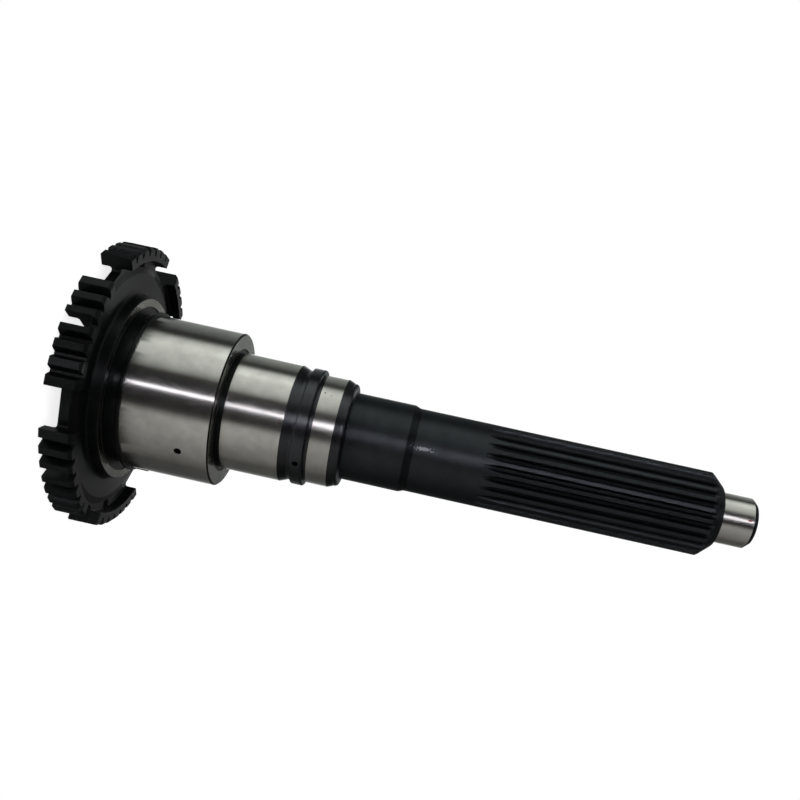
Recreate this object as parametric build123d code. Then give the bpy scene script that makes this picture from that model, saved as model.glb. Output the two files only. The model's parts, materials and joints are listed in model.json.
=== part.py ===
from build123d import *
import math
import os

# One forged and machined steel shaft. Z is its axis, z = 0 is the far end face of the toothed rim,
# and the small pilot journal is at the top. Lengths are in millimetres.

# Toothed rim of the clutch hub
rim_positions = 54
rim_module = 3.0
rim_pressure_angle = 20.0
rim_tooth_thickness = 6.4
rim_addendum = 3.0
rim_tooth_height = 5.0
rim_wall = 2.6
rim_width = 17.8
rim_far_chamfer = 0.6
rim_near_chamfer = 1.6
rim_corner_radius = 1.5

# Teeth stand in groups with a wide notch between two groups
tooth_groups = 6
teeth_per_group = 7
notch_width = 23.2
notch_depth = 10.8
notch_corner_radius = 1.6

# One tooth space of each group is milled deeper from the far side by a disc cutter
slot_space = 3
slot_width = 7.0
slot_height = 15.5
slot_cutter_diameter = 92.0
slot_cutter_past_tip = 6.8

# Web between the rim and the middle of the hub
web_far_z = 5.6
web_thickness = 6.8
recess_floor_width = 4.4
recess_slope_width = 4.0
recess_depth = 1.3

# Thrust collar, its ground ring and the relief beside it
collar_height = 6.8
collar_foot_radius = 1.6
collar_edge_chamfer = 0.5
thrust_ring_width = 5.5
thrust_relief_width = 5.0
thrust_relief_depth = 0.8

# Neck and bearing shoulder below the large journal
neck_depth = 1.5
neck_length = 6.2
shoulder_step = 1.8
shoulder_width = 1.9
shoulder_chamfer = 0.5

# Large journal and the undercut in its end face
journal_1_diameter = 92.0
journal_1_length = 51.4
journal_1_chamfer = 0.9
undercut_below_journal_2 = 0.7
undercut_beyond_journal_2 = 2.0
undercut_depth = 0.6
undercut_length = 2.8

# Middle journal, its long lead and the first seal groove
journal_2_diameter = 70.0
journal_2_length = 33.9
journal_2_lead_length = 4.7
groove_a_depth = 1.9
groove_a_length = 2.1

# Oil band as large as the middle journal, and the second groove
band_length = 7.3
band_edge_radius = 1.0
groove_b_below_land = 0.6
groove_b_length = 1.9

# Seal land and its nose
land_step = 2.5
land_length = 12.3
land_nose_length = 3.6
land_nose_step = 1.6
land_end_length = 2.6
land_nose_radius = 2.2

# Plain shank
shank_step = 6.5
shank_length = 35.0
shank_root_radius = 0.8
shank_taper_length = 3.3

# Involute spline with a hobbed run-out
spline_teeth = 24
spline_module = 2.0
spline_pressure_angle = 30.0
spline_tooth_thickness = 3.026
spline_addendum = 0.8
spline_tooth_height = 2.1
spline_section_length = 173.2
spline_full_depth_length = 126.9
spline_hob_diameter = 68.0
spline_turn = 2.4
spline_nose_length = 7.2
spline_nose_step = 6.5
spline_nose_radius = 1.6

# Pilot journal with a turning centre in its end
pilot_diameter = 30.0
pilot_length = 21.4
pilot_chamfer_length = 2.8
pilot_chamfer_depth = 2.5
centre_mouth_diameter = 8.0
centre_drill_diameter = 3.2
centre_drill_length = 9.0

# Far end of the hub: boss, bearing bore and oil drilling
boss_wall = 17.0
boss_set_back = 1.0
boss_edge_chamfer = 1.0
bearing_bore_diameter = 58.0
bearing_bore_depth = 28.0
bearing_bore_chamfer = 1.5
oil_drilling_diameter = 12.0
oil_drilling_past_hole = 6.0
drill_point_angle = 118.0

# Radial oil holes, in line with each other
oil_hole_turn = 26.0
oil_hole_1_diameter = 4.2
oil_hole_1_from_end = 17.4
oil_hole_2_diameter = 3.4

# Cutters reach this far past the faces they open
over = 1.0

# Diameters of the rim, from its pitch circle inwards
rim_tip_diameter = rim_positions * rim_module + 2 * rim_addendum
rim_root_diameter = rim_tip_diameter - 2 * rim_tooth_height
rim_inner_diameter = rim_root_diameter - 2 * rim_wall
recess_floor_diameter = rim_inner_diameter - 2 * recess_floor_width
web_flat_diameter = recess_floor_diameter - 2 * recess_slope_width
notch_floor_diameter = rim_tip_diameter - 2 * notch_depth
slot_cutter_centre_radius = rim_tip_diameter / 2 + slot_cutter_past_tip

# Diameters around the large journal
shoulder_diameter = journal_1_diameter + 2 * shoulder_step
neck_diameter = journal_1_diameter - 2 * neck_depth
thrust_inner_diameter = neck_diameter + 2 * thrust_relief_width
collar_diameter = thrust_inner_diameter + 2 * thrust_ring_width

# Diameters around the middle journal
undercut_diameter = journal_2_diameter - 2 * undercut_below_journal_2
undercut_outer_diameter = journal_2_diameter + 2 * undercut_beyond_journal_2
groove_a_diameter = journal_2_diameter - 2 * groove_a_depth
land_diameter = journal_2_diameter - 2 * land_step
groove_b_diameter = land_diameter - 2 * groove_b_below_land
land_nose_diameter = land_diameter - 2 * land_nose_step
shank_diameter = land_diameter - 2 * shank_step

# Diameters of the spline and of the boss at the far end
spline_tip_diameter = spline_teeth * spline_module + 2 * spline_addendum
spline_root_diameter = spline_tip_diameter - 2 * spline_tooth_height
spline_nose_diameter = spline_tip_diameter - 2 * spline_nose_step
boss_diameter = bearing_bore_diameter + 2 * boss_wall

# Heights, worked out from the rim face upwards
web_near_z = web_far_z + web_thickness
thrust_z = web_near_z + collar_height
shoulder_z = thrust_z + neck_length
journal_1_z = shoulder_z + shoulder_width
journal_1_end_z = journal_1_z + journal_1_length
journal_2_z = journal_1_end_z + undercut_length
journal_2_end_z = journal_2_z + journal_2_length
groove_a_z = journal_2_end_z + journal_2_lead_length
band_z = groove_a_z + groove_a_length
band_end_z = band_z + band_length
land_z = band_end_z + groove_b_length
land_end_z = land_z + land_length
land_nose_z = land_end_z + land_nose_length
shank_z = land_nose_z + land_end_length
shank_end_z = shank_z + shank_length
spline_z = shank_end_z + shank_taper_length
spline_chamfer_z = spline_z + spline_section_length
pilot_z = spline_chamfer_z + spline_nose_length
end_z = pilot_z + pilot_length
oil_hole_1_z = journal_1_end_z - oil_hole_1_from_end
oil_hole_2_z = band_z + band_length / 2
spline_full_depth_z = pilot_z - spline_full_depth_length


def turned(*outline):
    """Solid turned about Z from pairs of diameter and height, closed along the axis where it starts."""
    points = [(diameter / 2, 0, height) for diameter, height in outline]
    return revolve(make_face(Polyline(*points, close=True)), Axis.Z)


def bar(diameter, start, end):
    """Plain turned length from one height to another."""
    return turned((0, start), (diameter, start), (diameter, end), (0, end))


def circles(body, diameter):
    """Circular edges of a turned body at one diameter."""
    found = []
    for edge in body.edges().filter_by(GeomType.CIRCLE):
        centre = edge.arc_center
        if math.hypot(centre.X, centre.Y) < 0.01 and abs(edge.radius - diameter / 2) < 0.01:
            found.append(edge)
    return found


def ring_edges(body, diameter, height):
    """Circular edges of a turned body at one diameter and height."""
    return [edge for edge in circles(body, diameter) if abs(edge.arc_center.Z - height) < 0.01]


def foot_edge(body, diameter):
    """Lowest circular edge of a turned body at one diameter."""
    return min(circles(body, diameter), key=lambda edge: edge.arc_center.Z)


def involute(angle):
    """Involute function of a pressure angle in radians."""
    return math.tan(angle) - angle


def space_half_angle(radius, teeth, module, pressure_angle, thickness):
    """Half the angle of a tooth space at a radius, in radians. Below the base circle a flank is radial."""
    pitch_radius = teeth * module / 2
    at_pitch = math.radians(pressure_angle)
    base_radius = pitch_radius * math.cos(at_pitch)
    at_radius = math.acos(base_radius / max(radius, base_radius))
    tooth_half = thickness / (2 * pitch_radius) + involute(at_pitch) - involute(at_radius)
    return math.pi / teeth - tooth_half


def space_face(teeth, module, pressure_angle, thickness, root_diameter, tip_diameter):
    """Face of one tooth space about the X axis, with involute flanks, drawn past the tip circle."""
    root = root_diameter / 2
    tip = tip_diameter / 2
    clear = tip + module / 4

    def at(radius, side):
        turn = side * space_half_angle(radius, teeth, module, pressure_angle, thickness)
        return (radius * math.cos(turn), radius * math.sin(turn))

    def flank(side):
        return ThreePointArc(at(root, side), at((root + clear) / 2, side), at(clear, side))

    floor = ThreePointArc(at(root, -1), (root, 0), at(root, 1))
    mouth = Line(at(clear, 1), at(clear, -1))
    return make_face([flank(1), flank(-1), floor, mouth])


def around(shape, angles):
    """Copies of a shape turned about Z."""
    return [Rot(0, 0, angle) * shape for angle in angles]


def rim_and_web():
    """Turned hub disc: rim, thin web with its recesses, and the boss at the far end."""
    recess_z = web_near_z - recess_depth
    disc = turned(
        (0, web_far_z),
        (rim_inner_diameter, web_far_z),
        (rim_inner_diameter, 0),
        (rim_tip_diameter, 0),
        (rim_tip_diameter, rim_width),
        (rim_inner_diameter, rim_width),
        (rim_inner_diameter, recess_z),
        (recess_floor_diameter, recess_z),
        (web_flat_diameter, web_near_z),
        (0, web_near_z),
    )
    disc = fillet(ring_edges(disc, rim_inner_diameter, web_far_z), rim_corner_radius)
    disc = fillet(ring_edges(disc, rim_inner_diameter, recess_z), rim_corner_radius)
    disc = chamfer(ring_edges(disc, rim_tip_diameter, 0), rim_far_chamfer)
    disc = chamfer(ring_edges(disc, rim_tip_diameter, rim_width), rim_near_chamfer)
    boss = bar(boss_diameter, boss_set_back, web_near_z)
    boss = chamfer(ring_edges(boss, boss_diameter, boss_set_back), boss_edge_chamfer)
    return disc + boss


def thrust_collar():
    """Collar with a ground ring on its face and a relief inside the ring."""
    collar = turned(
        (0, web_near_z),
        (collar_diameter, web_near_z),
        (collar_diameter, thrust_z),
        (thrust_inner_diameter, thrust_z),
        (thrust_inner_diameter, thrust_z - thrust_relief_depth),
        (0, thrust_z - thrust_relief_depth),
    )
    return chamfer(ring_edges(collar, collar_diameter, thrust_z), collar_edge_chamfer)


def large_journal():
    """Neck, bearing shoulder and large journal, with the undercut turned into its end face."""
    neck = bar(neck_diameter, thrust_z - over, shoulder_z)
    shoulder = bar(shoulder_diameter, shoulder_z, journal_1_z)
    shoulder = chamfer(ring_edges(shoulder, shoulder_diameter, shoulder_z), shoulder_chamfer)
    journal = bar(journal_1_diameter, journal_1_z, journal_1_end_z)
    journal = chamfer(ring_edges(journal, journal_1_diameter, journal_1_end_z), journal_1_chamfer)
    undercut = bar(undercut_outer_diameter, journal_1_end_z - undercut_depth, journal_1_end_z + over)
    return neck + shoulder + (journal - undercut)


def middle_journal():
    """Undercut, middle journal, its lead, the oil band between two grooves and the seal land."""
    start = journal_1_end_z - undercut_depth
    body = turned(
        (0, start),
        (undercut_diameter, start),
        (undercut_diameter, journal_2_z),
        (journal_2_diameter, journal_2_z),
        (journal_2_diameter, journal_2_end_z),
        (groove_a_diameter, groove_a_z),
        (groove_a_diameter, band_z),
        (journal_2_diameter, band_z),
        (journal_2_diameter, band_end_z),
        (groove_b_diameter, band_end_z),
        (groove_b_diameter, land_z),
        (land_diameter, land_z),
        (land_diameter, land_end_z),
        (land_nose_diameter, land_nose_z),
        (land_nose_diameter, shank_z),
        (0, shank_z),
    )
    band_edges = [edge for z in (band_z, band_end_z) for edge in ring_edges(body, journal_2_diameter, z)]
    body = fillet(band_edges, band_edge_radius)
    return fillet(ring_edges(body, land_nose_diameter, shank_z), land_nose_radius)


def shank_and_spline():
    """Plain shank, the spline's blank with its long nose, and the pilot journal."""
    body = turned(
        (0, shank_z - over),
        (shank_diameter, shank_z - over),
        (shank_diameter, shank_end_z),
        (spline_tip_diameter, spline_z),
        (spline_tip_diameter, spline_chamfer_z),
        (spline_nose_diameter, pilot_z),
        (0, pilot_z),
    )
    body = fillet(ring_edges(body, spline_nose_diameter, pilot_z), spline_nose_radius)
    pilot = turned(
        (0, pilot_z - over),
        (pilot_diameter, pilot_z - over),
        (pilot_diameter, end_z - pilot_chamfer_length),
        (pilot_diameter - 2 * pilot_chamfer_depth, end_z),
        (0, end_z),
    )
    return body + pilot


def rim_spaces():
    """Tooth spaces of the rim, between the teeth of each group."""
    face = space_face(rim_positions, rim_module, rim_pressure_angle, rim_tooth_thickness,
                      rim_root_diameter, rim_tip_diameter)
    space = Pos(0, 0, -over) * extrude(face, rim_width + 2 * over)
    spaces = range(1, teeth_per_group)
    return around(space, [space_angle(group, number) for group in range(tooth_groups) for number in spaces])


def space_angle(group, number):
    """Angle of a tooth space inside a group, numbered from 1 after the notch before the group."""
    middle = (group + 0.5) * 360 / tooth_groups
    return middle + (number - teeth_per_group / 2) * 360 / rim_positions


def rim_notches():
    """Wide notches through the rim, with a flat floor and rounded corners."""
    depth = (rim_tip_diameter - notch_floor_diameter) / 2 + over
    outline = Pos(notch_floor_diameter / 2 + depth / 2, 0) * Rectangle(depth, notch_width)
    inner_corners = outline.vertices().sort_by(Axis.X)[:2]
    outline = fillet(inner_corners, notch_corner_radius)
    notch = Pos(0, 0, -over) * extrude(outline, rim_width + 2 * over)
    return around(notch, [group * 360 / tooth_groups for group in range(tooth_groups)])


def rim_slots():
    """One deeper slot in each group, left by a disc cutter from the far side."""
    disc = Rot(90, 0, 0) * Cylinder(slot_cutter_diameter / 2, slot_width)
    disc = Pos(slot_cutter_centre_radius, 0, slot_height - slot_cutter_diameter / 2) * disc
    return around(disc, [space_angle(group, slot_space) for group in range(tooth_groups)])


def spline_spaces():
    """Spline tooth spaces, each with the curved run-out that a hob leaves at its inner end."""
    face = space_face(spline_teeth, spline_module, spline_pressure_angle, spline_tooth_thickness,
                      spline_root_diameter, spline_tip_diameter)
    face = Pos(0, 0, spline_full_depth_z) * face
    straight = extrude(face, spline_full_depth_length + over)
    hob_radius = spline_hob_diameter / 2
    hob_axis = Axis((spline_root_diameter / 2 + hob_radius, 0, spline_full_depth_z), (0, -1, 0))
    depth = (spline_tip_diameter - spline_root_diameter) / 2 + over
    run_out = revolve(face, hob_axis, math.degrees(math.acos(1 - depth / hob_radius)))
    pitch = 360 / spline_teeth
    return around(straight + run_out, [spline_turn + tooth * pitch for tooth in range(spline_teeth)])


def bores():
    """Bearing bore and oil drilling from the far end, radial oil holes and the turning centre."""
    bottom = boss_set_back + bearing_bore_depth
    bearing = bar(bearing_bore_diameter, boss_set_back - over, bottom)
    mouth = turned(
        (0, boss_set_back - over),
        (bearing_bore_diameter + 2 * (bearing_bore_chamfer + over), boss_set_back - over),
        (bearing_bore_diameter, boss_set_back + bearing_bore_chamfer),
        (0, boss_set_back + bearing_bore_chamfer),
    )
    drill_end = oil_hole_2_z + oil_drilling_past_hole
    point = oil_drilling_diameter / 2 / math.tan(math.radians(drill_point_angle / 2))
    drilling = turned(
        (0, bottom - over),
        (oil_drilling_diameter, bottom - over),
        (oil_drilling_diameter, drill_end),
        (0, drill_end + point),
    )
    cone_length = (centre_mouth_diameter - centre_drill_diameter) / 2 / math.tan(math.radians(30))
    centre = turned(
        (0, end_z - centre_drill_length),
        (centre_drill_diameter, end_z - centre_drill_length),
        (centre_drill_diameter, end_z - cone_length),
        (centre_mouth_diameter, end_z),
        (0, end_z),
    )
    return [bearing, mouth, drilling, centre]


def oil_hole(diameter, height, surface_diameter):
    """Radial hole from a journal's surface to the axis."""
    reach = surface_diameter / 2 + over
    hole = Pos(reach / 2, 0, height) * (Rot(0, 90, 0) * Cylinder(diameter / 2, reach))
    return Rot(0, 0, oil_hole_turn) * hole


def input_shaft():
    """The whole shaft as one solid."""
    body = rim_and_web() + thrust_collar()
    body = fillet(foot_edge(body, collar_diameter), collar_foot_radius)
    body = body + large_journal() + middle_journal() + shank_and_spline()
    body = fillet(foot_edge(body, shank_diameter), shank_root_radius)
    body = body - rim_spaces() - rim_notches() - rim_slots()
    body = body - spline_spaces()
    body = body - bores()
    body = body - oil_hole(oil_hole_1_diameter, oil_hole_1_z, journal_1_diameter)
    return body - oil_hole(oil_hole_2_diameter, oil_hole_2_z, journal_2_diameter)


os.makedirs("parts", exist_ok=True)
shaft = input_shaft()
shaft.label = "input_shaft"
export_step(shaft, "parts/input_shaft.step")
print("overall length", round(end_z, 2), "volume", round(shaft.volume))
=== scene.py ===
import json
import math

import bpy
from mathutils import Matrix, Vector

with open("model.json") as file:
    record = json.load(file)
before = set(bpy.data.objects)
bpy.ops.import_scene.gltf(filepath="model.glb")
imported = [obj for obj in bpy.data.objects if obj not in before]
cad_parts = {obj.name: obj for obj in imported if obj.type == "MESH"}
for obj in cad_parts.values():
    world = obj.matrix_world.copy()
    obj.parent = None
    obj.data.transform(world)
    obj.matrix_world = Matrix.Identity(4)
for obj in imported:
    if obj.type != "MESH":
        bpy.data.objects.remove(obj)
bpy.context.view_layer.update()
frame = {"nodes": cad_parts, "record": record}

shaft = frame["nodes"]["input_shaft"]
mounts = {mount["name"]: mount for mount in frame["record"]["mounts"]}
mm = 0.001

# Camera: where it stands around the shaft's axis, and where it looks
camera_azimuth = -13.38
camera_distance = 533.3 * mm
camera_height = 201.3 * mm
target_height = 180.8 * mm
camera_roll = 102.42
camera_lens = 40.56
camera_sensor = 36.0
camera_shift_y = 0.0586
camera_clip = (0.01, 50.0)

# Ground surfaces, with the roughness of each journal
ground_journals = {"large_journal": 0.195, "middle_journal": 0.235, "seal_land": 0.28, "pilot_journal": 0.30}
ground_depth = 0.2 * mm
ground_border = 0.03 * mm
journal_setback = 4 * ground_border
thrust_ring_radii = (49.9 * mm, 54.2 * mm)
shoulder_face_height = 78.7 * mm
shoulder_face_radii = (37.2 * mm, 45.1 * mm)
face_depth = 0.1 * mm
face_border = 0.1 * mm

# Zones of the black oxide, of the taper, and of the painted shade in the spline's spaces, by height and
# radius
band_height = 115.5 * mm
shank_height = 150.2 * mm
neck_heights = (19.4 * mm, 27.2 * mm)
taper_heights = (185.0 * mm, 189.6 * mm)
taper_border = 0.4 * mm
space_heights = (205.0 * mm, 361.0 * mm)
space_radii = (24.5 * mm, 23.0 * mm)
space_border = 1.0 * mm

# Rounded edges: how far a normal bends where the rounding starts and where it is full
edge_radius = 0.35 * mm
edge_samples = 6
edge_bend = (0.05, 0.15)

# How nearly radial the normal of a turned surface is
turned_share = 0.985

# Studio wall around the shaft, with its brightness and tint at some azimuths
wall_radius = 1.3
wall_columns = 720
plain = (1.0, 1.0, 1.0)
greenish = (0.95, 1.0, 0.99)
bluish = (1.0, 0.98, 1.1)
wall_points = (
    (-180.0, 1.2, plain),
    (-172.0, 1.4, plain),
    (-164.0, 1.1, plain),
    (-155.0, 0.27, plain),
    (-130.0, 0.19, greenish),
    (-118.0, 0.12, greenish),
    (-109.0, 0.035, greenish),
    (-101.0, 0.035, greenish),
    (-97.0, 0.25, greenish),
    (-92.0, 0.66, greenish),
    (-80.0, 0.99, greenish),
    (-75.0, 0.97, greenish),
    (-66.0, 0.77, greenish),
    (-56.0, 0.71, greenish),
    (-46.0, 0.58, greenish),
    (-38.0, 0.36, greenish),
    (-32.5, 0.04, plain),
    (-22.0, 0.035, bluish),
    (4.0, 0.03, bluish),
    (15.0, 0.025, plain),
    (20.0, 0.06, plain),
    (30.0, 0.41, plain),
    (40.0, 0.41, plain),
    (60.0, 0.31, plain),
    (90.0, 0.17, plain),
    (110.0, 0.075, plain),
    (140.0, 0.07, plain),
    (155.0, 0.15, plain),
    (164.0, 0.45, plain),
    (172.0, 0.75, plain),
    (180.0, 1.2, plain),
)

# Strip lamp on the wall
strip_azimuth = -8.4

# Rows of the wall: height, share of the wall's brightness, and the strip lamp's brightness and half width
wall_rows = (
    (-1.2, 0.10, 0.5, 3.2),
    (-0.8, 0.25, 1.2, 3.2),
    (-0.45, 1.02, 4.4, 3.2),
    (-0.20, 1.18, 4.3, 3.2),
    (-0.05, 1.85, 0.6, 4.0),
    (0.06, 1.6, 0.6, 4.0),
    (0.14, 0.30, 1.0, 4.0),
    (0.24, 0.18, 6.0, 4.0),
    (0.34, 0.15, 46.0, 4.2),
    (0.46, 0.14, 36.0, 4.2),
    (0.56, 0.14, 3.0, 4.0),
    (0.72, 0.16, 1.2, 3.2),
    (0.76, 2.6, 0.8, 3.2),
    (0.95, 2.6, 0.8, 3.2),
    (1.1, 0.7, 2.0, 3.2),
    (1.6, 0.05, 0.3, 3.2),
    (2.6, 0.025, 0.05, 3.2),
)

# Soft lamps: azimuth, distance, width, power and tint
lamps = {
    "lamp_above": (-60.0, 1.0, 1.2, 6.0, (0.97, 1.0, 0.97)),
    "lamp_front": (-6.0, 1.1, 0.2, 2.5, (1.0, 0.98, 1.0)),
    "lamp_below": (60.0, 1.0, 1.2, 2.0, (1.0, 0.97, 0.93)),
}
lamp_length = 1.6
lamp_height = 0.2

# World and floor
room_colour = (0.5, 0.5, 0.5)
room_strength = 0.6
floor_size = 3.0
floor_drop = 0.05 * mm
floor_fade = (85.0 * mm, 115.0 * mm)
floor_colour = (0.8, 0.8, 0.8)
floor_glow = 0.8
white = (1.0, 1.0, 1.0)

# Colours
ground_colour = (0.56, 0.545, 0.50)
oxide_colour = (0.0026, 0.0031, 0.0030)
band_colour = (0.072, 0.074, 0.078)
shank_colour = (0.058, 0.0635, 0.068)
oxide_tint = (0.95, 1.0, 0.99)

# Darker places: share of the colour on the taper, and in the spline's spaces as painted shade, and soft
# mottling all over
taper_shade = 0.45
space_painted_shade = 0.30
mottle_shades = (0.92, 1.07)
mottle_range = (0.3, 0.7)
mottle_scale = 110.0
mottle_detail = 4.0

# Roughness, gloss of the oxide, and stretch of the highlights by the turning and grinding marks
ground_face_roughness = 0.16
oxide_roughness = 0.42
band_roughness = 0.36
neck_roughness = 0.28
shank_roughness = 0.54
oxide_specular = 0.21
highlight_stretch = 0.8
highlight_turn = 0.25

# Small marks, rust and wear with one painted highlight: azimuth, radius and height, half width, length over
# width, colour
marks_and_painted_highlight = (
    # Painted highlight: a light grey streak along the shank's highlight line, where a smudge lies
    (-3.8, 24.8 * mm, 195.2 * mm, 1.25 * mm, 4.5, (0.28, 0.29, 0.30)),
    (-6.6, 15.0 * mm, 384.7 * mm, 1.1 * mm, 1.0, (0.22, 0.05, 0.04)),
    (-39.5, 32.5 * mm, 133.8 * mm, 0.55 * mm, 1.0, (0.10, 0.08, 0.06)),
    (-38.0, 32.5 * mm, 137.6 * mm, 0.45 * mm, 1.0, (0.12, 0.10, 0.08)),
)
mark_core = 0.4
mark_noise = (2.4, -0.2)
mark_noise_scale = 900.0
mark_noise_detail = 2.0


def around(azimuth, radius, height):
    """Point around the shaft's axis. Azimuth is counted from the camera's side."""
    turn = math.radians(camera_azimuth + azimuth)
    return Vector((radius * math.cos(turn), radius * math.sin(turn), height))


def colour(rgb):
    """Colour with full opacity, as sockets take it."""
    return (*rgb, 1.0)


class Graph:
    """Adds shader nodes to one tree and joins them."""

    def __init__(self, tree):
        self.tree = tree
        tree.nodes.clear()

    def node(self, kind, inputs=None, **settings):
        """New node with its inputs fed and its settings set."""
        made = self.tree.nodes.new(kind)
        for name, value in settings.items():
            setattr(made, name, value)
        for key, value in (inputs or {}).items():
            self.feed(made.inputs[key], value)
        return made

    def feed(self, socket, value):
        """Joins a socket to another one, or sets its plain value."""
        if isinstance(value, bpy.types.NodeSocket):
            self.tree.links.new(value, socket)
        else:
            socket.default_value = value

    def math(self, operation, a, b=0.0, c=0.0):
        """Sum on numbers."""
        return self.node("ShaderNodeMath", {0: a, 1: b, 2: c}, operation=operation).outputs[0]

    def ramp(self, value, start, end, low=0.0, high=1.0):
        """Smooth step of a value from start to end."""
        inputs = {"Value": value, "From Min": start, "From Max": end, "To Min": low, "To Max": high}
        made = self.node("ShaderNodeMapRange", inputs, interpolation_type="SMOOTHSTEP")
        return made.outputs["Result"]

    def within(self, value, low, high, soft):
        """1 where a value lies between two limits, and 0 outside, with soft borders."""
        rise = self.ramp(value, low - soft, low + soft)
        fall = self.ramp(value, high - soft, high + soft, 1.0, 0.0)
        return self.math("MULTIPLY", rise, fall)

    def noise(self, place, scale, detail):
        """Noise by place, from 0 to 1."""
        inputs = {"Vector": place, "Scale": scale, "Detail": detail}
        return self.node("ShaderNodeTexNoise", inputs).outputs[0]

    def blend(self, factor, a, b):
        """Colour between two colours."""
        made = self.node("ShaderNodeMix", data_type="RGBA", clamp_factor=True)
        self.feed(made.inputs[0], factor)
        self.feed(made.inputs[6], a)
        self.feed(made.inputs[7], b)
        return made.outputs[2]

    def vector(self, operation, a, b=(0.0, 0.0, 0.0), output="Vector"):
        """Sum on vectors."""
        return self.node("ShaderNodeVectorMath", {0: a, 1: b}, operation=operation).outputs[output]

    def scaled(self, vector, factor):
        """Vector or colour times a number."""
        made = self.node("ShaderNodeVectorMath", {0: vector}, operation="SCALE")
        self.feed(made.inputs["Scale"], factor)
        return made.outputs["Vector"]

    def lerp(self, factor, a, b):
        """Number between two numbers."""
        made = self.node("ShaderNodeMix", data_type="FLOAT", clamp_factor=True)
        self.feed(made.inputs[0], factor)
        self.feed(made.inputs[2], a)
        self.feed(made.inputs[3], b)
        return made.outputs[0]


def thin_oxide(g, height):
    """1 above the middle journal, where the oxide is thinner."""
    return g.math("GREATER_THAN", height, band_height)


def on_shank(g, height):
    """1 above the seal land's nose."""
    return g.math("GREATER_THAN", height, shank_height)


def ground_mask(g, radius, height):
    """1 on the ground journals, their end face and the thrust ring, and the roughness all over."""
    mask = 0.0
    thin = g.lerp(on_shank(g, height), band_roughness, shank_roughness)
    rough = g.lerp(thin_oxide(g, height), oxide_roughness, thin)
    rough = g.lerp(g.within(height, *neck_heights, ground_border), rough, neck_roughness)
    for name, roughness in ground_journals.items():
        mount = mounts[name]
        half = mount["dims"]["length_mm"] * mm / 2
        middle = mount["pos_m"][2]
        limit = mount["dims"]["r_mm"] * mm - ground_depth
        along = g.within(height, middle - half + journal_setback, middle + half, ground_border)
        outside = g.math("GREATER_THAN", radius, limit)
        here = g.math("MULTIPLY", along, outside)
        mask = g.math("MAXIMUM", mask, here)
        rough = g.lerp(here, rough, roughness)
    thrust_height = mounts["hub_thrust_face"]["pos_m"][2]
    faces = ((thrust_height, thrust_ring_radii), (shoulder_face_height, shoulder_face_radii))
    for level, radii in faces:
        flat = g.within(height, level - face_depth, level + face_depth, ground_border)
        ring = g.within(radius, *radii, face_border)
        here = g.math("MULTIPLY", flat, ring)
        mask = g.math("MAXIMUM", mask, here)
        rough = g.lerp(here, rough, ground_face_roughness)
    return mask, rough


def mottle_taper_and_painted_shade(g, place, radius, height):
    """Share of the colour that stays: less on the taper, less in the spline's spaces as painted shade, and
    mottled all over.
    """
    noise = g.noise(place, mottle_scale, mottle_detail)
    taper = g.within(height, *taper_heights, taper_border)
    spaces = g.within(height, *space_heights, space_border)
    # Painted shade: the spline's spaces get darker towards their floor
    deep_painted_shade = g.math("MULTIPLY", spaces, g.ramp(radius, *space_radii))
    mottled = g.ramp(noise, *mottle_range, *mottle_shades)
    taper_and_painted_shade = g.math("MULTIPLY", g.lerp(taper, 1.0, taper_shade), g.lerp(deep_painted_shade, 1.0, space_painted_shade))
    return g.math("MULTIPLY", mottled, taper_and_painted_shade)


def add_marks_and_painted_highlight(g, place, base):
    """The base colour with the small marks on it, each with an uneven edge: rust, wear, and a painted
    highlight on the shank.
    """
    noise = g.noise(place, mark_noise_scale, mark_noise_detail)
    for azimuth, radius, height, half_width, stretch, rgb in marks_and_painted_highlight:
        offset = g.vector("SUBTRACT", place, around(azimuth, radius, height))
        offset = g.vector("MULTIPLY", offset, (1.0, 1.0, 1.0 / stretch))
        uneven = g.math("MULTIPLY_ADD", noise, *mark_noise)
        away = g.math("MULTIPLY", g.vector("LENGTH", offset, output="Value"), uneven)
        base = g.blend(g.ramp(away, half_width, mark_core * half_width), base, colour(rgb))
    return base


def turned_normal(g, outward):
    """Normal that is exactly round about the axis on turned surfaces. Flanks and flats keep their own."""
    normal = g.node("ShaderNodeNewGeometry").outputs["Normal"]
    parts = g.node("ShaderNodeSeparateXYZ", {0: normal}).outputs
    level = g.node("ShaderNodeCombineXYZ", {0: parts[0], 1: parts[1]}).outputs[0]
    along = g.node("ShaderNodeCombineXYZ", {2: parts[2]}).outputs[0]
    length = g.vector("LENGTH", level, output="Value")
    facing = g.vector("DOT_PRODUCT", level, outward, output="Value")
    round_level = g.scaled(outward, g.math("MULTIPLY", g.math("SIGN", facing), length))
    limit = g.math("MULTIPLY", length, turned_share)
    is_round = g.math("GREATER_THAN", g.math("ABSOLUTE", facing), limit)
    change = g.scaled(g.vector("SUBTRACT", round_level, level), is_round)
    return g.vector("NORMALIZE", g.vector("ADD", g.vector("ADD", level, change), along))


def edge_normal(g, outward):
    """Normal of the turned surfaces, bent over at the edges, which are slightly rounded."""
    plain_normal = g.node("ShaderNodeNewGeometry").outputs["Normal"]
    rounded = g.node("ShaderNodeBevel", {"Radius": edge_radius}, samples=edge_samples).outputs[0]
    bend = g.vector("SUBTRACT", rounded, plain_normal)
    share = g.ramp(g.vector("LENGTH", bend, output="Value"), *edge_bend)
    return g.vector("NORMALIZE", g.vector("ADD", turned_normal(g, outward), g.scaled(bend, share)))


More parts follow.
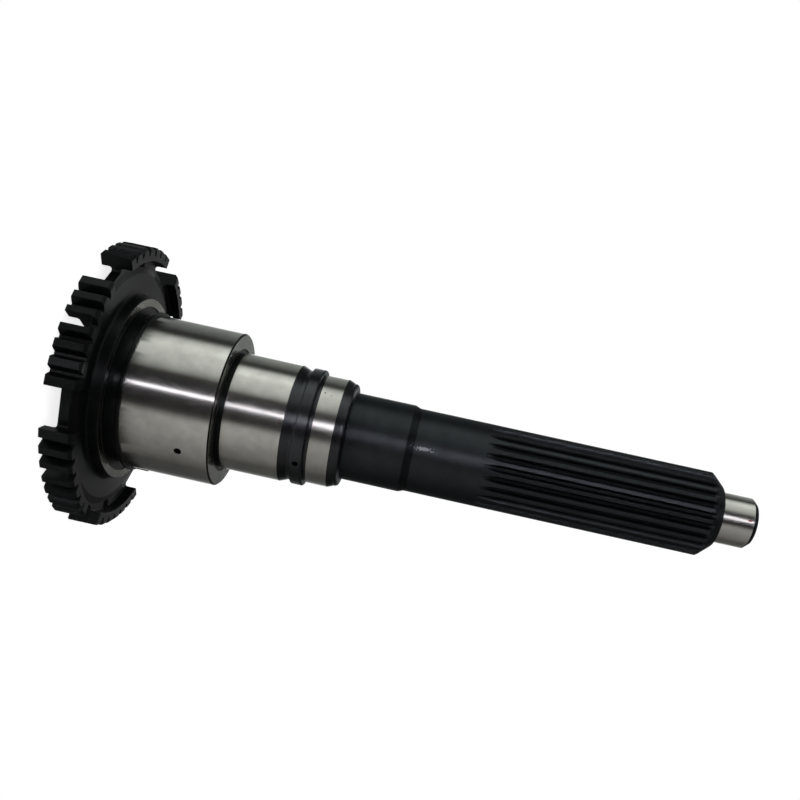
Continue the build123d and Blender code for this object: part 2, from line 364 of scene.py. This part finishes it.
def steel_material():
    """Black oxide all over, apart from the ground surfaces."""
    made = bpy.data.materials.new("shaft_steel")
    made.use_nodes = True
    g = Graph(made.node_tree)
    place = g.node("ShaderNodeTexCoord").outputs["Object"]
    parts = g.node("ShaderNodeSeparateXYZ", {0: place}).outputs
    height = parts[2]
    flat = g.node("ShaderNodeCombineXYZ", {0: parts[0], 1: parts[1]}).outputs[0]
    radius = g.vector("LENGTH", flat, output="Value")
    ground, rough = ground_mask(g, radius, height)

    thin = g.blend(on_shank(g, height), colour(band_colour), colour(shank_colour))
    oxide = g.blend(thin_oxide(g, height), colour(oxide_colour), thin)
    base = g.blend(ground, oxide, colour(ground_colour))
    base = add_marks_and_painted_highlight(g, place, g.scaled(base, mottle_taper_and_painted_shade(g, place, radius, height)))
    inputs = {
        "Base Color": base,
        "Roughness": rough,
        "Metallic": g.math("MAXIMUM", ground, thin_oxide(g, height)),
        "Normal": edge_normal(g, g.vector("NORMALIZE", flat)),
        "Specular IOR Level": oxide_specular,
        "Specular Tint": colour(oxide_tint),
        "Anisotropic": highlight_stretch,
        "Anisotropic Rotation": highlight_turn,
    }
    shader = g.node("ShaderNodeBsdfPrincipled", inputs)
    out = g.node("ShaderNodeOutputMaterial")
    g.feed(out.inputs["Surface"], shader.outputs[0])
    return made


def seen_rays(g):
    """1 for camera, reflection and transmission rays, and 0 for the others."""
    path = g.node("ShaderNodeLightPath")
    seen = g.math("MAXIMUM", path.outputs["Is Camera Ray"], path.outputs["Is Glossy Ray"])
    seen = g.math("MAXIMUM", seen, path.outputs["Is Transmission Ray"])
    return seen


def make_world():
    """White background for the camera and reflections, and a grey room that lights the shaft."""
    world = bpy.data.worlds.new("studio")
    bpy.context.scene.world = world
    world.use_nodes = True
    g = Graph(world.node_tree)
    room = g.node("ShaderNodeBackground", {"Color": colour(room_colour), "Strength": room_strength})
    backdrop = g.node("ShaderNodeBackground", {"Color": colour(white), "Strength": 1.0})
    mixed = g.node("ShaderNodeMixShader", {0: seen_rays(g), 1: room.outputs[0], 2: backdrop.outputs[0]})
    out = g.node("ShaderNodeOutputWorld")
    g.feed(out.inputs["Surface"], mixed.outputs[0])


def make_floor():
    """Pale floor that fades to the background's white away from the shaft."""
    mesh = bpy.data.meshes.new("floor")
    corners = [(x * floor_size, y * floor_size, 0) for x, y in ((-1, -1), (1, -1), (1, 1), (-1, 1))]
    mesh.from_pydata(corners, [], [(0, 1, 2, 3)])
    floor = bpy.data.objects.new("floor", mesh)
    bpy.context.scene.collection.objects.link(floor)
    floor.location.z = -floor_drop
    made = bpy.data.materials.new("floor_white")
    made.use_nodes = True
    g = Graph(made.node_tree)
    place = g.node("ShaderNodeTexCoord").outputs["Object"]
    away = g.vector("LENGTH", place, output="Value")
    fade = g.ramp(away, *floor_fade)
    diffuse = g.node("ShaderNodeBsdfDiffuse", {"Color": colour(floor_colour)})
    glow = g.node("ShaderNodeEmission", {"Color": colour(white), "Strength": floor_glow})
    lit = g.node("ShaderNodeAddShader", {0: diffuse.outputs[0], 1: glow.outputs[0]})
    far = g.node("ShaderNodeEmission", {"Color": colour(white), "Strength": 1.0})
    shown = g.node("ShaderNodeMixShader", {0: fade, 1: lit.outputs[0], 2: far.outputs[0]})
    mixed = g.node("ShaderNodeMixShader", {0: seen_rays(g), 1: diffuse.outputs[0], 2: shown.outputs[0]})
    out = g.node("ShaderNodeOutputMaterial")
    g.feed(out.inputs["Surface"], mixed.outputs[0])
    mesh.materials.append(made)
    floor.visible_glossy = False


def make_lamp(name, azimuth, distance, width, watts, tint):
    """Upright soft lamp that faces the shaft. Reflections show the studio wall in its place."""
    data = bpy.data.lights.new(name, "AREA")
    data.shape = "RECTANGLE"
    data.size = width
    data.size_y = lamp_length
    data.energy = watts
    data.color = tint
    light = bpy.data.objects.new(name, data)
    bpy.context.scene.collection.objects.link(light)
    light.location = around(azimuth, distance, lamp_height)
    inwards = Vector((-light.location.x, -light.location.y, 0))
    light.rotation_mode = "QUATERNION"
    light.rotation_quaternion = inwards.to_track_quat("-Z", "Y")
    light.visible_camera = False
    light.visible_glossy = False


def wall_light(azimuth, share, strip, half_width):
    """Colour and brightness of the studio wall at one place, with its strip lamp."""
    for (start, first, tint), (end, last, next_tint) in zip(wall_points, wall_points[1:]):
        if start <= azimuth <= end:
            along = (azimuth - start) / (end - start)
            break
    level = (first + (last - first) * along) * share
    light = Vector(tint).lerp(Vector(next_tint), along) * level
    across = max(0.0, 1.0 - abs(azimuth - strip_azimuth) / half_width)
    return light + Vector(bluish) * strip * across


def make_wall():
    """Round studio wall and ceiling with soft lights and dark screens, seen only in reflections."""
    rows = len(wall_rows)
    points, faces, lights = [], [], []
    for i in range(wall_columns + 1):
        azimuth = -180.0 + 360.0 * i / wall_columns
        for height, *row in wall_rows:
            points.append(around(azimuth, wall_radius, height))
            lights += [*wall_light(azimuth, *row), 1.0]
    for i in range(wall_columns):
        for j in range(rows - 1):
            corner = i * rows + j
            faces.append((corner, corner + rows, corner + rows + 1, corner + 1))
    ceiling = [i * rows + rows - 1 for i in range(wall_columns)]
    faces.append(ceiling)
    mesh = bpy.data.meshes.new("studio_wall")
    mesh.from_pydata(points, [], faces)
    mesh.attributes.new("light", "FLOAT_COLOR", "POINT").data.foreach_set("color", lights)
    wall = bpy.data.objects.new("studio_wall", mesh)
    bpy.context.scene.collection.objects.link(wall)
    made = bpy.data.materials.new("studio_wall")
    made.use_nodes = True
    g = Graph(made.node_tree)
    light = g.node("ShaderNodeAttribute", attribute_name="light").outputs["Color"]
    glow = g.node("ShaderNodeEmission", {"Color": light, "Strength": 1.0})
    out = g.node("ShaderNodeOutputMaterial")
    g.feed(out.inputs["Surface"], glow.outputs[0])
    mesh.materials.append(made)
    wall.visible_camera = False
    wall.visible_diffuse = False
    wall.visible_shadow = False


def make_camera():
    """Camera at the photo's viewing angle, rolled so that the shaft lies across the picture."""
    data = bpy.data.cameras.new("camera")
    data.sensor_width = camera_sensor
    data.lens = camera_lens
    data.shift_y = camera_shift_y
    data.clip_start, data.clip_end = camera_clip
    camera = bpy.data.objects.new("camera", data)
    bpy.context.scene.collection.objects.link(camera)
    eye = around(0.0, camera_distance, camera_height)
    aim = Vector((0, 0, target_height)) - eye
    upright = aim.to_track_quat("-Z", "Y").to_matrix()
    rolled = upright @ Matrix.Rotation(math.radians(camera_roll), 3, "Z")
    camera.matrix_world = Matrix.Translation(eye) @ rolled.to_4x4()
    bpy.context.scene.camera = camera


def dress_shaft():
    """Steel on every slot of the shaft."""
    steel = steel_material()
    for slot in shaft.material_slots:
        slot.link = "OBJECT"
        slot.material = steel


dress_shaft()
make_world()
make_floor()
make_wall()
for lamp_name, settings in lamps.items():
    make_lamp(lamp_name, *settings)
make_camera()
bpy.context.scene.view_settings.view_transform = "Standard"
